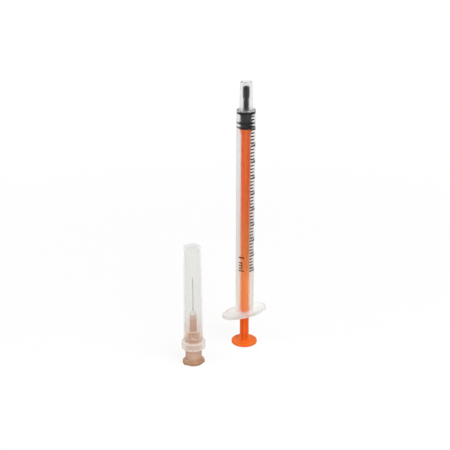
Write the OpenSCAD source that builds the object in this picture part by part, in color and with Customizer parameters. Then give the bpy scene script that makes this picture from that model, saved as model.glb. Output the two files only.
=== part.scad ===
// One millilitre insulin syringe with its detachable needle in a clear sheath.
// The syringe stands on its thumb rest, plunger pushed home and nozzle up. The needle stands
// beside it on its hub. The origin is the middle of the thumb rest's underside, +Z runs up the
// barrel, and the scale faces the quarter between +X and -Y.

/* [Barrel] */
// Diameter of the bore that the stopper runs in
bore_d = 4.7; // [4.5:0.05:4.9]
// Thickness of the barrel's wall
barrel_wall = 0.9; // [0.8:0.02:1.3]
// Length from the flange's underside to the shoulder
barrel_l = 76.2; // [75:0.1:84]
// Thickness of the wall that closes the bore at the nozzle
end_wall_t = 0.5; // [0.4:0.1:1.2]
// Radius of the round edge at the shoulder
shoulder_r = 0.3; // [0.2:0.1:0.8]
// Depth of the flared mouth where the plunger goes in
mouth_l = 0.9; // [0.5:0.1:1.5]
// How far the flared mouth opens beyond the bore, on the radius
mouth_flare = 0.3; // [0.1:0.05:0.45]

/* [Nozzle] */
// Length of the nozzle beyond the shoulder
nozzle_l = 9.4; // [8:0.1:11]
// Outside diameter of the nozzle at its tip
nozzle_tip_d = 4.0; // [3.9:0.05:4.2]
// Growth of the nozzle's diameter for each millimetre of length
luer_taper_share = 0.06; // [0.05:0.005:0.07]

/* [Finger flange] */
// Length of the flange across both fingers
flange_l = 18.5; // [16:0.1:22]
// Width of the flange at its middle
flange_w = 8.7; // [8.5:0.1:10]
// Thickness of the flange
flange_t = 1.3; // [1:0.1:1.8]
// Radius of the flange's round ends
flange_end_r = 2.7; // [2:0.1:3.2]
// Radius of the fillet between flange and barrel
flange_fillet_r = 0.5; // [0.2:0.1:0.6]
// Turn of the flange about the barrel, in degrees
flange_turn = 34; // [0:1:90]

/* [Printed scale] */
// Length of the whole scale: one millilitre over the area of the bore
scale_l = 57.6; // [50:0.1:60]
// Number of steps along the scale
scale_steps = 50; // [10:5:50]
// Steps from one long line to the next
long_every = 5; // [5:5:10]
// Width of a printed line
line_w = 0.46; // [0.2:0.02:0.5]
// Thickness of the ink
ink_t = 0.03; // [0.02:0.01:0.06]
// Where the lines start, in degrees from -Y towards +X
line_start = 28; // [0:1:60]
// How far a short line runs round the barrel, in degrees
short_sweep = 31; // [20:1:40]
// How far a long line runs round the barrel, in degrees
long_sweep = 52; // [45:1:90]

/* [Plunger] */
// Length of plunger left outside the flange when it is pushed home
exposed_l = 10.8; // [6:0.1:16]
// Diameter of the thumb rest
rest_d = 9.4; // [8:0.1:12]
// Thickness of the thumb rest
rest_t = 1.1; // [0.9:0.1:2]
// Radius of the thumb rest's round rim
rest_rim_r = 0.35; // [0.1:0.05:0.4]
// Span of the rod across opposite ribs
rod_span = 3.3; // [2.8:0.05:3.6]
// Thickness of each rib
rib_t = 1.05; // [0.8:0.05:1.3]
// How far each rib spreads where it meets the thumb rest
root_spread = 0.7; // [0.3:0.1:1.5]
// Height of that spread
root_h = 1.3; // [0.5:0.1:3]
// Thickness of the collar behind the stopper
collar_t = 1; // [0.6:0.1:1.6]
// Gap between the collar and the bore, on the radius
collar_gap = 0.3; // [0.2:0.05:0.4]
// Diameter of the neck that carries the stopper
head_neck_d = 1.7; // [1.4:0.05:2]
// Length of the neck that carries the stopper
head_neck_l = 1.2; // [0.8:0.1:1.4]
// Diameter of the barb that the stopper snaps over
barb_d = 2.5; // [2.3:0.05:2.6]
// Length of the barb
barb_l = 1.7; // [1.2:0.1:2]

/* [Stopper] */
// Length of the stopper without its nose
stopper_l = 6.1; // [5.6:0.1:8]
// Running clearance of the stopper's rings in the bore, on the radius
ring_fit = 0.04; // [0.02:0.01:0.06]
// How far the rings stand out of the stopper's body
ring_depth = 0.34; // [0.2:0.02:0.4]
// Height of the front ring
front_ring_h = 1; // [0.7:0.1:1.3]
// Height of the middle ring
mid_ring_h = 0.7; // [0.5:0.1:0.9]
// Height of the rear ring
rear_ring_h = 0.6; // [0.4:0.1:0.8]
// Bare length in front of the front ring
front_lip = 0.1; // [0.05:0.05:0.4]
// Bare length behind the rear ring
rear_lip = 0.2; // [0.1:0.05:0.4]
// Length from the rear ring to the middle ring
ring_gap = 0.95; // [0.6:0.05:1.2]
// Gap left between the stopper and the end of the bore
home_gap = 0.1; // [0.05:0.05:0.2]
// Snap clearance round the barb, on the radius
barb_fit = 0.04; // [0.02:0.01:0.06]

/* [Stopper nose] */
// Diameter of the nose's long stem
nose_stem_d = 1.9; // [1.6:0.02:2]
// Length of the nose's stem
nose_stem_l = 4; // [3.5:0.1:5]
// Diameter of the groove between stem and head
nose_groove_d = 1.5; // [1.2:0.05:1.55]
// Length of the groove
nose_groove_l = 0.3; // [0.2:0.05:0.5]
// Diameter of the nose's head
nose_head_d = 2.3; // [2.1:0.02:2.4]
// Length of the cone that ends the head
nose_point_l = 0.5; // [0.3:0.1:0.8]
// Gap between the head and the nozzle's bore, on the radius
nose_gap = 0.1; // [0.08:0.01:0.15]
// How far the nose stops short of the nozzle's tip
nose_setback = 1.3; // [1:0.1:2]

/* [Needle hub] */
// Distance of the needle from the syringe along X
needle_x = 18.3; // [15:0.1:24]
// Distance of the needle from the syringe along Y
needle_y = 15.3; // [12:0.1:24]
// Length of the hub from its foot to the end of its stem
hub_l = 18.8; // [17:0.1:20]
// Span across both lugs
lug_span = 7.8; // [7.4:0.05:8]
// Width of each lug
lug_w = 3.6; // [3:0.1:4]
// Height of a lug at its outer end
lug_h = 0.9; // [0.6:0.1:1.2]
// Height at which the lugs run out on the neck
lug_run_out = 1.9; // [1.6:0.1:2.4]
// Turn of the lugs about the needle, in degrees
lug_turn = 18; // [0:1:90]
// Diameter of the ring round the foot
foot_d = 6.9; // [6.4:0.05:7.2]
// Height of the ring round the foot
foot_h = 0.6; // [0.4:0.1:0.9]
// Height of the slope from that ring to the neck
foot_slope_h = 0.8; // [0.4:0.1:1.2]
// Diameter of the neck
neck_d = 5.75; // [5.6:0.05:6]
// Height of the neck's top above the foot
neck_top = 7.1; // [6.8:0.1:7.6]
// Diameter of the boss over the neck, and span of the fins on it
boss_d = 4.85; // [4.7:0.05:5.1]
// Height of the boss's top above the foot
boss_top = 8.8; // [8.5:0.1:9.5]
// Height of the fins' top above the foot
fin_top = 11.6; // [10.5:0.1:12.5]
// Thickness of each fin
fin_t = 0.7; // [0.5:0.05:0.9]
// Diameter of the stem where it leaves the boss
stem_root_d = 2.9; // [2.7:0.05:3.2]
// Diameter of the stem at its end
stem_end_d = 2.4; // [2.3:0.05:2.6]
// Diameter of the socket at its mouth
socket_d = 4.3; // [4.2:0.02:4.36]
// Depth of the socket
socket_l = 7.6; // [7.5:0.1:8]
// Diameter of the passage between socket and cannula
passage_d = 1.2; // [0.8:0.1:1.6]

/* [Cannula and bond] */
// Outside diameter of the cannula
cannula_d = 0.45; // [0.4:0.01:0.55]
// Diameter of the cannula's bore
cannula_bore_d = 0.26; // [0.2:0.01:0.28]
// Length of cannula that stands out of the bond
cannula_exposed_l = 13; // [8:0.5:16]
// Length of the bevel at the point
bevel_l = 1.3; // [0.8:0.1:1.8]
// Gap between the cannula and its hole in the hub, on the radius
cannula_fit = 0.03; // [0.02:0.01:0.05]
// How far the cannula starts above the socket's end
cannula_inset = 2; // [1.5:0.1:3]
// Diameter of the well of bonding resin at the stem's end
well_d = 1.7; // [1.3:0.05:1.9]
// Depth of that well
well_l = 1.6; // [1:0.1:2.4]
// Height of the bead of resin above the stem
bead_h = 1.3; // [0.8:0.05:1.4]
// Diameter of the bead of resin
bead_d = 2.3; // [2.1:0.02:2.3]

/* [Sheath] */
// Length of the sheath
sheath_l = 38.5; // [34:0.1:42]
// Height of the sheath's mouth above the hub's foot
sheath_seat = 5.9; // [5.4:0.1:6.3]
// Thickness of the sheath's wall
sheath_wall = 0.48; // [0.4:0.02:0.6]
// Clearance of the sheath on the hub's neck, on the radius
sheath_fit = 0.04; // [0.02:0.01:0.08]
// Diameter of the thick rim round the mouth
rim_d = 8.34; // [7.8:0.02:9]
// Height of that rim
rim_h = 2.6; // [1.8:0.1:3.2]
// Outside diameter of the sheath at its closed end
sheath_end_d = 5.84; // [5.5:0.02:6]
// Thickness of the closed end
sheath_end_t = 0.9; // [0.6:0.1:1.4]
// Radius of the round edge at the closed end
sheath_end_r = 0.9; // [0.5:0.1:1.2]

/* [Hidden] */
$fn = 96;
// Overrun of every cut past the face that it opens
over = 0.5;
// Straight pieces along each arc of the flange's outline
arc_steps = 24;

barrel_d = bore_d + 2*barrel_wall;
flange_z = rest_t + exposed_l;
shoulder_z = flange_z + barrel_l;
bore_end_z = shoulder_z - end_wall_t;
nozzle_tip_z = shoulder_z + nozzle_l;
nozzle_root_d = nozzle_tip_d + nozzle_l*luer_taper_share;
nozzle_bore_d = nose_head_d + 2*nose_gap;

stopper_front_z = bore_end_z - home_gap;
stopper_rear_z = stopper_front_z - stopper_l;
ring_d = bore_d - 2*ring_fit;
stopper_d = ring_d - 2*ring_depth;
ring_edge_r = rear_ring_h/4;
nose_l = nozzle_tip_z - nose_setback - stopper_front_z;

collar_d = bore_d - 2*collar_gap;
collar_z = stopper_rear_z - collar_t;
barb_z = stopper_rear_z + head_neck_l;

step_l = scale_l/scale_steps;

neck_bore_d = neck_d + 2*sheath_fit;
sheath_root_d = neck_bore_d + 2*sheath_wall;
sheath_top_z = sheath_seat + sheath_l;
sheath_inner_end_d = sheath_end_d - 2*sheath_wall;
socket_end_d = socket_d - socket_l*luer_taper_share;
cannula_z = socket_l + cannula_inset;
cannula_hole_d = cannula_d + 2*cannula_fit;
well_floor_d = (cannula_hole_d + well_d)/2;
cannula_tip_z = hub_l + bead_h + cannula_exposed_l;

// A round rim of radius r on z = 0, which rounds the edge of a disc of diameter d
module round_rim(d, r) {
    rotate_extrude() translate([d/2 - r, 0]) circle(r = r);
}

// A disc on z = 0 with both its edges rounded
module round_disc(d, h, r) {
    cylinder(d = d - 2*r, h = h);
    translate([0, 0, r]) cylinder(d = d, h = h - 2*r);
    for (z = [r, h - r])
        translate([0, 0, z]) round_rim(d, r);
}

// The rounded end of a solid of diameter d that reaches up to z = 0
module round_end(d, r) {
    cylinder(d = d - 2*r, h = r);
    round_rim(d, r);
}

// A cross of two plates on z = 0
module cross_plates(span, t, h) {
    for (a = [0, 90])
        rotate([0, 0, a]) translate([-span/2, -t/2, 0]) cube([span, t, h]);
}

module plunger_rod() {
    color([0.93, 0.38, 0.12]) {
        round_disc(rest_d, rest_t, rest_rim_r);
        translate([0, 0, rest_t/2]) cross_plates(rod_span, rib_t, collar_z - rest_t/2);
        for (a = [0, 90])
            rotate([0, 0, a]) rib_root();
        translate([0, 0, collar_z]) cylinder(d = collar_d, h = collar_t);
        translate([0, 0, stopper_rear_z - collar_t/2])
            cylinder(d = head_neck_d, h = head_neck_l + collar_t);
        translate([0, 0, barb_z]) cylinder(d1 = barb_d, d2 = head_neck_d, h = barb_l);
    }
}

// The spread of one pair of ribs on the thumb rest
module rib_root() {
    half = rod_span/2;
    translate([0, rib_t/2, rest_t]) rotate([90, 0, 0]) linear_extrude(rib_t)
        polygon([
            [-half - root_spread, 0], [half + root_spread, 0],
            [half, root_h], [-half, root_h]
        ]);
}

module stopper() {
    color([0.2, 0.21, 0.22]) {
        difference() {
            translate([0, 0, stopper_rear_z]) {
                cylinder(d = stopper_d, h = stopper_l);
                translate([0, 0, rear_lip]) round_disc(ring_d, rear_ring_h, ring_edge_r);
                translate([0, 0, rear_lip + rear_ring_h + ring_gap])
                    round_disc(ring_d, mid_ring_h, ring_edge_r);
                translate([0, 0, stopper_l - front_lip - front_ring_h])
                    round_disc(ring_d, front_ring_h, ring_edge_r);
            }
            barb_pocket();
        }
        translate([0, 0, stopper_front_z]) nose();
    }
}

// The pocket in the stopper's rear that snaps over the plunger's barb
module barb_pocket() {
    translate([0, 0, stopper_rear_z - over])
        cylinder(d = head_neck_d + 2*barb_fit, h = head_neck_l + 2*over);
    translate([0, 0, barb_z - barb_fit])
        cylinder(d = barb_d + 2*barb_fit, h = barb_l + 2*barb_fit);
}

// The nose that fills the nozzle, so that hardly any liquid stays behind
module nose() {
    head_z = nose_stem_l + nose_groove_l;
    translate([0, 0, -front_lip]) cylinder(d = nose_stem_d, h = nose_stem_l + front_lip);
    translate([0, 0, nose_stem_l - over/2]) cylinder(d = nose_groove_d, h = nose_groove_l + over);
    translate([0, 0, head_z]) cylinder(d = nose_head_d, h = nose_l - head_z - nose_point_l);
    translate([0, 0, nose_l - nose_point_l])
        cylinder(d1 = nose_head_d, d2 = 0, h = nose_point_l);
}

module barrel() {
    color([0.86, 0.88, 0.88, 0.4]) difference() {
        union() {
            translate([0, 0, flange_z]) {
                cylinder(d = barrel_d, h = barrel_l - shoulder_r);
                rotate([0, 0, flange_turn]) linear_extrude(flange_t) polygon(flange_points());
                translate([0, 0, flange_t]) flange_fillet();
            }
            translate([0, 0, shoulder_z - shoulder_r]) round_end(barrel_d, shoulder_r);
            translate([0, 0, shoulder_z])
                cylinder(d1 = nozzle_root_d, d2 = nozzle_tip_d, h = nozzle_l);
        }
        barrel_hollow();
    }
}

// The flared mouth, the bore and the nozzle's passage, turned as one shape
module barrel_hollow() {
    mouth_r = bore_d/2 + mouth_flare;
    rotate_extrude() polygon([
        [0, flange_z - over], [mouth_r, flange_z - over], [mouth_r, flange_z],
        [bore_d/2, flange_z + mouth_l], [bore_d/2, bore_end_z], [nozzle_bore_d/2, bore_end_z],
        [nozzle_bore_d/2, nozzle_tip_z + over], [0, nozzle_tip_z + over]
    ]);
}

// Points on an arc, ends included
function arc(centre, r, from, to) =
    [for (i = [0:arc_steps]) let (a = from + (to - from)*i/arc_steps)
        centre + r*[cos(a), sin(a)]];

// The flange's outline: a long arc on each side that runs smoothly into a round end
function flange_points() =
    let (
        end_x = flange_l/2 - flange_end_r,
        rise = flange_w/2,
        long_r = (end_x*end_x - flange_end_r*flange_end_r + rise*rise)
            / (2*(rise - flange_end_r)),
        meet = atan2(long_r - rise, end_x),
        quarter = concat(
            arc([end_x, 0], flange_end_r, -meet, meet),
            arc([0, rise - long_r], long_r, meet, 180 - meet)
        )
    )
    concat(quarter, [for (p = quarter) -p]);

// A hollow quarter round that runs from the flange into the barrel
module flange_fillet() {
    r = flange_fillet_r;
    rotate_extrude() difference() {
        square([barrel_d/2 + r, r]);
        translate([barrel_d/2 + r, r]) circle(r = r);
    }
}

// One printed line of the scale, given its step and how far it runs round. Its upper edge
// marks the place of the stopper's front
module scale_line(step, sweep) {
    translate([0, 0, stopper_front_z - step*step_l - line_w])
        rotate([0, 0, line_start - 90]) rotate_extrude(angle = sweep)
            translate([barrel_d/2, 0]) square([ink_t, line_w]);
}

module short_lines() {
    color([0.1, 0.1, 0.11])
        for (step = [0:scale_steps])
            if (step % long_every != 0) scale_line(step, short_sweep);
}

module long_lines() {
    color([0.1, 0.1, 0.11])
        for (step = [0:long_every:scale_steps]) scale_line(step, long_sweep);
}

// Moves a piece of the needle to its place beside the syringe
module at_needle() {
    translate([-needle_x, -needle_y, 0]) children();
}

module needle_hub() {
    color([0.74, 0.5, 0.36]) at_needle() difference() {
        union() {
            rotate_extrude() polygon([
                [0, 0], [foot_d/2, 0], [foot_d/2, foot_h], [neck_d/2, foot_h + foot_slope_h],
                [neck_d/2, neck_top], [0, neck_top]
            ]);
            rotate([0, 0, lug_turn]) lugs();
            translate([0, 0, neck_top - over]) finned_boss();
            translate([0, 0, neck_top])
                cylinder(d1 = stem_root_d, d2 = stem_end_d, h = hub_l - neck_top);
        }
        hub_hollow();
    }
}

// The boss over the socket, with four fins left standing on it
module finned_boss() {
    floor_z = boss_top - neck_top + over;
    difference() {
        cylinder(d = boss_d, h = fin_top - neck_top + over);
        for (a = [0:90:270])
            rotate([0, 0, a]) translate([fin_t/2, fin_t/2, floor_z])
                cube([boss_d, boss_d, fin_top]);
    }
}

// Two lugs with sloping tops, cut from one round blank
module lugs() {
    slope = (lug_span - neck_d)/(lug_run_out - lug_h);
    blank_h = lug_run_out + over;
    intersection() {
        rotate_extrude() polygon([
            [0, 0], [lug_span/2, 0], [lug_span/2, lug_h],
            [(lug_span - slope*(blank_h - lug_h))/2, blank_h], [0, blank_h]
        ]);
        translate([-lug_span, -lug_w/2, 0]) cube([2*lug_span, lug_w, blank_h]);
    }
}

// The tapered socket, the passage, the cannula's hole and the well of resin
module hub_hollow() {
    well_z = hub_l - well_l;
    rotate_extrude() polygon([
        [0, -over], [socket_d/2 + over*luer_taper_share/2, -over],
        [socket_end_d/2, socket_l], [passage_d/2, socket_l],
        [passage_d/2, cannula_z], [cannula_hole_d/2, cannula_z],
        [cannula_hole_d/2, well_z], [well_floor_d/2, well_z],
        [well_d/2, hub_l], [well_d/2, hub_l + over], [0, hub_l + over]
    ]);
}

module needle_cannula() {
    color([0.78, 0.79, 0.8]) at_needle() difference() {
        translate([0, 0, cannula_z]) cylinder(d = cannula_d, h = cannula_tip_z - cannula_z);
        translate([0, 0, cannula_z - over])
            cylinder(d = cannula_bore_d, h = cannula_tip_z - cannula_z + 2*over);
        translate([0, 0, cannula_tip_z]) bevel_cut();
    }
}

// The wedge taken off the tip, from nothing at -X to the bevel's full length at +X
module bevel_cut() {
    reach = cannula_d;
    drop = bevel_l*reach/cannula_d;
    rotate([90, 0, 0]) translate([0, 0, -reach]) linear_extrude(2*reach)
        polygon([
            [-reach/2, 0], [reach/2, -bevel_l], [reach/2 + reach, -bevel_l - drop],
            [reach/2 + reach, drop], [-reach/2 - reach, drop]
        ]);
}

// The resin that bonds the cannula: it fills the hub's well and stands in a bead above it
module needle_bond() {
    bead_r = (bead_d*bead_d/4 + bead_h*bead_h)/(2*bead_h);
    color([0.93, 0.9, 0.86]) at_needle() difference() {
        union() {
            translate([0, 0, hub_l - well_l])
                cylinder(d1 = well_floor_d, d2 = well_d, h = well_l);
            intersection() {
                translate([0, 0, hub_l + bead_h - bead_r]) sphere(r = bead_r);
                translate([0, 0, hub_l]) cylinder(d = bead_d, h = bead_h);
            }
        }
        translate([0, 0, hub_l - well_l - over])
            cylinder(d = cannula_d, h = well_l + bead_h + 2*over);
    }
}

module needle_sheath() {
    round_z = sheath_l - sheath_end_r;
    color([0.9, 0.91, 0.9, 0.4]) at_needle() translate([0, 0, sheath_seat]) difference() {
        union() {
            rotate_extrude() polygon([
                [0, 0], [rim_d/2, 0], [rim_d/2, rim_h], [sheath_root_d/2, rim_h],
                [sheath_end_d/2, round_z], [0, round_z]
            ]);
            translate([0, 0, round_z]) round_end(sheath_end_d, sheath_end_r);
        }
        rotate_extrude() polygon([
            [0, -over], [neck_bore_d/2, -over], [neck_bore_d/2, rim_h],
            [sheath_inner_end_d/2, sheath_l - sheath_end_t], [0, sheath_l - sheath_end_t]
        ]);
    }
}

plunger_rod();
stopper();
barrel();
short_lines();
long_lines();
needle_hub();
needle_cannula();
needle_bond();
needle_sheath();
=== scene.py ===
"""A one millilitre insulin syringe and its sheathed needle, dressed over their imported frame.

Lengths are in millimetres here and become metres when a mesh is made. Every moulded piece is one
closed surface worked out on a grid: its rows follow a profile, and its columns run round an axis.
"""
import math

import bmesh
import bpy
import numpy as np
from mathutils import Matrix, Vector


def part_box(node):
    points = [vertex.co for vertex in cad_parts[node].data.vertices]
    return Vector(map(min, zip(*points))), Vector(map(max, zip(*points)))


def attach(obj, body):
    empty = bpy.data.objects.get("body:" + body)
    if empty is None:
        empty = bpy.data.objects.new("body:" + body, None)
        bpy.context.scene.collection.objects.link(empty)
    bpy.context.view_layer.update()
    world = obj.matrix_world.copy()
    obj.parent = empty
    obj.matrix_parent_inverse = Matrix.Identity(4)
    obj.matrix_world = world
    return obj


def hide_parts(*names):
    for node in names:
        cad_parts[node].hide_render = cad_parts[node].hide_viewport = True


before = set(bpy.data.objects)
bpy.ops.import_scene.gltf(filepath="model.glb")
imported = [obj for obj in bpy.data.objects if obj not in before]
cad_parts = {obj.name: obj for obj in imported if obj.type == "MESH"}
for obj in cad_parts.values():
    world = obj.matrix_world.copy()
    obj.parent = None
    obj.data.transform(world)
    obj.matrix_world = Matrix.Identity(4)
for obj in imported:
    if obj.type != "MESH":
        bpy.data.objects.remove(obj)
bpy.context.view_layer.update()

MM = 0.001
FULL_TURN = 2*math.pi


def span(node):
    """Lowest and highest corner of a CAD node in millimetres."""
    low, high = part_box(node)
    return np.array(low)/MM, np.array(high)/MM


# Barrel
barrel_low, barrel_high = span("barrel")
flange_z = barrel_low[2]
nozzle_tip_z = barrel_high[2]
barrel_r = 3.25
bore_r = 2.35
nozzle_l = 9.4
nozzle_tip_r = 2.0
luer_taper_share = 0.06
nozzle_root_r = nozzle_tip_r + nozzle_l*luer_taper_share/2
nozzle_bore_r = 1.25
shoulder_z = nozzle_tip_z - nozzle_l
end_wall_t = 0.5
bore_end_z = shoulder_z - end_wall_t
mouth_l = 0.9
mouth_r = bore_r + 0.3
flange_l = 18.5
flange_w = 8.7
flange_t = 1.3
flange_end_r = 2.7
flange_turn = math.radians(34)
flange_edge_r = 0.28
flange_top_z = flange_z + flange_t

# Plunger
rod_high = span("plunger_rod")[1]
rest_r = rod_high[0]
rest_t = 1.1
rod_span = 3.3
rib_t = 1.05
root_spread = 0.7
root_h = 1.3
neck_r = 0.85
barb_r = 1.25
barb_l = 1.7
barb_tip_z = rod_high[2]
barb_z = barb_tip_z - barb_l
collar_r = 2.05
collar_t = 1.0

# Stopper
stopper_low, stopper_high = span("stopper")
stopper_rear_z = stopper_low[2]
nose_tip_z = stopper_high[2]
stopper_l = 6.1
stopper_front_z = stopper_rear_z + stopper_l
stopper_r = 1.97
ring_squeeze = 0.012
pocket_gap = 0.04
collar_z = stopper_rear_z - collar_t

# Printed scale
line_w = 0.46
ink_t = 0.022
ink_lift = 0.006
scale_steps = 50
long_every = 5
units_per_step = 2
scale_l = 57.6
line_start = math.radians(28 - 90)
short_sweep = math.radians(31)
long_sweep = math.radians(52)
figure_h = 1.9
figure_angle = line_start + long_sweep + math.radians(18)
capacity_h = 3.05
capacity_z = 32.7
capacity_angle = math.radians(-90 - 27)

# Needle
sheath_low, sheath_high = span("needle_sheath")
cannula_low, cannula_high = span("needle_cannula")
needle_xy = (cannula_low[:2] + cannula_high[:2])/2
hub_l = span("needle_hub")[1][2]
foot_r = 3.45
foot_h = 0.6
hub_neck_r = 2.875
foot_slope_top_z = 1.4
lug_r = 3.9
lug_half_w = 1.8
lug_h = 0.9
lug_run_out = 1.9
lug_turn = math.radians(18)
neck_top_z = 7.1
boss_r = 2.425
boss_top_z = 8.8
fin_top_z = 11.6
fin_half_t = 0.35
stem_root_r = 1.45
stem_end_r = 1.2
socket_r = 2.15
socket_end_r = 1.922
socket_l = 7.6
passage_r = 0.6
well_r = 0.85
well_floor_r = 0.5525
well_l = 1.6
cannula_r = 0.225
cannula_bore_r = 0.13
cannula_fit = 0.03
bevel_l = 1.3
bead_r = 1.15
bead_h = 1.3
rim_r = 4.17
rim_h = 2.6
sheath_root_r = 3.395
sheath_end_r = 2.92
sheath_neck_r = 2.915
sheath_inner_end_r = 2.44
sheath_end_t = 0.9
sheath_round = 0.6


def rounded(corners, steps=5, hold=0.12, fill=0, closed=False):
    """Points of a profile whose corners, given as (x, y, radius), are turned into round arcs.

    An arc is ((1-s)^2 A + 2 s (1-s) w P + s^2 B) / ((1-s)^2 + 2 s (1-s) w + s^2), where P is the
    corner, A and B the points where the arc meets its sides, and w the cosine of half the turn,
    which makes the curve a true circle. One point more lies just outside each end of an arc, so
    that smooth shading stays in the corner, and fill points are spread between those. An open
    profile keeps its first and last corner as they are.
    """
    corner, radius = np.split(np.asarray(corners, float), [2], 1)
    back = np.roll(corner, 1, 0) - corner
    ahead = np.roll(corner, -1, 0) - corner
    ahead_l = np.linalg.norm(ahead, axis=1)
    back_unit = back/np.linalg.norm(back, axis=1)[:, None]
    ahead_unit = ahead/ahead_l[:, None]
    half_angle = np.arccos(np.clip((back_unit*ahead_unit).sum(1), -1, 1))/2
    reach = radius[:, 0]/np.tan(half_angle)
    if not closed:
        reach[[0, -1]] = 0
    weight = np.sin(half_angle)[:, None, None]
    s = np.linspace(0, 1, steps + 1)[None, :, None]
    start = (corner + back_unit*reach[:, None])[:, None]
    end = (corner + ahead_unit*reach[:, None])[:, None]
    near, mid, far = (1 - s)**2, 2*s*(1 - s)*weight, s**2
    arc = (near*start + mid*corner[:, None] + far*end)/(near + mid + far)
    free = ahead_l - reach - np.roll(reach, -1)
    margin = np.minimum(hold, free/4)
    between = np.linspace(0, 1, fill + 2)[None, :]
    along = margin[:, None] + between*(free - 2*margin)[:, None]
    straight = end + ahead_unit[:, None]*along[:, :, None]
    if closed:
        return np.concatenate([arc, straight], 1).reshape(-1, 2)
    middle = np.concatenate([arc, straight], 1)[1:-1].reshape(-1, 2)
    return np.vstack([corner[:1], straight[0], middle, corner[-1:]])


def turned(profile, angles, centre=(0, 0)):
    """A profile of radius r and height z turned about an upright line: (r cos a, r sin a, z)."""
    radius, height = profile[:, 0][:, None], profile[:, 1][:, None]
    flat = np.zeros_like(angles)
    return np.stack([
        centre[0] + radius*np.cos(angles), centre[1] + radius*np.sin(angles), height + flat
    ], -1)


def stacked(outline, height):
    """Rows of an outline, given as (rows, columns, 2), at the height of each row."""
    z = np.broadcast_to(np.asarray(height, float)[:, None], outline.shape[:2])
    return np.concatenate([outline, z[..., None]], -1)


def even_angles(count):
    """Angles spread evenly over a full turn."""
    return np.arange(count)*FULL_TURN/count


def closed_grid(points, rows_close):
    """Corners and faces of a closed surface from a grid of points (rows, columns, 3).

    Columns always run round. Rows run round too, or else the first and last row are each one
    point, a pole, and the faces next to it are triangles.
    """
    rows, columns = points.shape[:2]
    index = np.arange(rows*columns).reshape(rows, columns)
    if rows_close:
        here, above = index, np.roll(index, -1, 0)
        corners = points.reshape(-1, 3)
        fans = []
    else:
        here, above = index[1:-2] - columns + 1, index[2:-1] - columns + 1
        corners = np.vstack([points[:1, 0], points[1:-1].reshape(-1, 3), points[-1:, 0]])
        low, high = index[1] - columns + 1, index[-2] - columns + 1
        bottom = np.stack([np.zeros(columns, int), np.roll(low, -1), low], -1)
        top = np.stack([high, np.roll(high, -1), np.full(columns, len(corners) - 1)], -1)
        fans = np.vstack([bottom, top]).tolist()
    quads = np.stack([here, np.roll(here, -1, 1), np.roll(above, -1, 1), above], -1)
    return corners, quads.reshape(-1, 4).tolist() + fans


def closed_mesh(name, points, rows_close=False):
    """A mesh in metres from one grid of points in millimetres, smooth except at sharp edges."""
    return smooth_mesh(name, *closed_grid(points, rows_close))


def smooth_mesh(name, corners, faces, sharp=35):
    """A mesh in metres from corners in millimetres, with edges sharp past an angle in degrees."""
    mesh = bpy.data.meshes.new(name)
    mesh.from_pydata((np.asarray(corners)*MM).tolist(), [], faces)
    mesh.polygons.foreach_set("use_smooth", np.ones(len(mesh.polygons), bool))
    mesh.set_sharp_from_angle(angle=math.radians(sharp))
    mesh.update()
    return mesh


def add_object(name, data):
    """A new object in the scene, at the origin."""
    thing = bpy.data.objects.new(name, data)
    bpy.context.scene.collection.objects.link(thing)
    return thing


def place(mesh, material, body, slot, *nodes):
    """Adds a piece that rides on a body, with its finish, and hides the CAD nodes it replaces. The
    slot is not used.
    """
    mesh.materials.append(material)
    piece = add_object(mesh.name, mesh)
    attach(piece, body)
    if nodes:
        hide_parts(*nodes)


# Shader nodes


def add_node(tree, kind, **settings):
    """A new node of a tree with its properties set."""
    node = tree.nodes.new(kind)
    for label, value in settings.items():
        setattr(node, label, value)
    return node


def feed(tree, socket, value):
    """Gives a socket its value: another node's output is linked, a number or a colour is set."""
    if isinstance(value, bpy.types.NodeSocket):
        tree.links.new(value, socket)
    else:
        socket.default_value = value


def joined(tree, operation, *values, clamp=False):
    """One, two or three values put through one math node."""
    node = add_node(tree, "ShaderNodeMath", operation=operation, use_clamp=clamp)
    for socket, value in zip(node.inputs, values):
        feed(tree, socket, value)
    return node.outputs["Value"]


def times(tree, first, second):
    """The product of two values, or of two masks: the part where both are."""
    return joined(tree, "MULTIPLY", first, second)


def moved(tree, value, low, high, first=0.0, last=1.0, easing="SMOOTHSTEP"):
    """A value that runs from the first to the last while another goes from low to high.

    With s = (value - low) / (high - low) held between 0 and 1, it is first + (last - first) e,
    where e is s^2 (3 - 2 s) for a smooth step and s for a straight one.
    """
    node = add_node(tree, "ShaderNodeMapRange", interpolation_type=easing)
    labels = ("Value", "From Min", "From Max", "To Min", "To Max")
    for label, given in zip(labels, (value, low, high, first, last)):
        feed(tree, node.inputs[label], given)
    return node.outputs["Result"]


def noise(tree, vector, scale, detail, distortion=0.0):
    """Noise from 0 to 1 at a vector."""
    node = add_node(tree, "ShaderNodeTexNoise")
    labels = ("Vector", "Scale", "Detail", "Distortion")
    for label, given in zip(labels, (vector, scale, detail, distortion)):
        feed(tree, node.inputs[label], given)
    return node.outputs["Fac"]


def own_place(tree):
    """The object's own coordinates."""
    return add_node(tree, "ShaderNodeTexCoord").outputs["Object"]


def own_parts(tree):
    """X, Y and Z of the object's own coordinates."""
    parts = add_node(tree, "ShaderNodeSeparateXYZ")
    feed(tree, parts.inputs["Vector"], own_place(tree))
    return parts.outputs


def drawn_out(tree, across, along):
    """The object's own coordinates times (across, across, along), for noise that runs along Z."""
    stretch = add_node(tree, "ShaderNodeCombineXYZ")
    for label, given in zip("XYZ", (across, across, along)):
        feed(tree, stretch.inputs[label], given)
    scaled = add_node(tree, "ShaderNodeVectorMath", operation="MULTIPLY")
    feed(tree, scaled.inputs[0], own_place(tree))
    feed(tree, scaled.inputs[1], stretch.outputs["Vector"])
    return scaled.outputs["Vector"]


# Shader node groups that several finishes share


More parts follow.
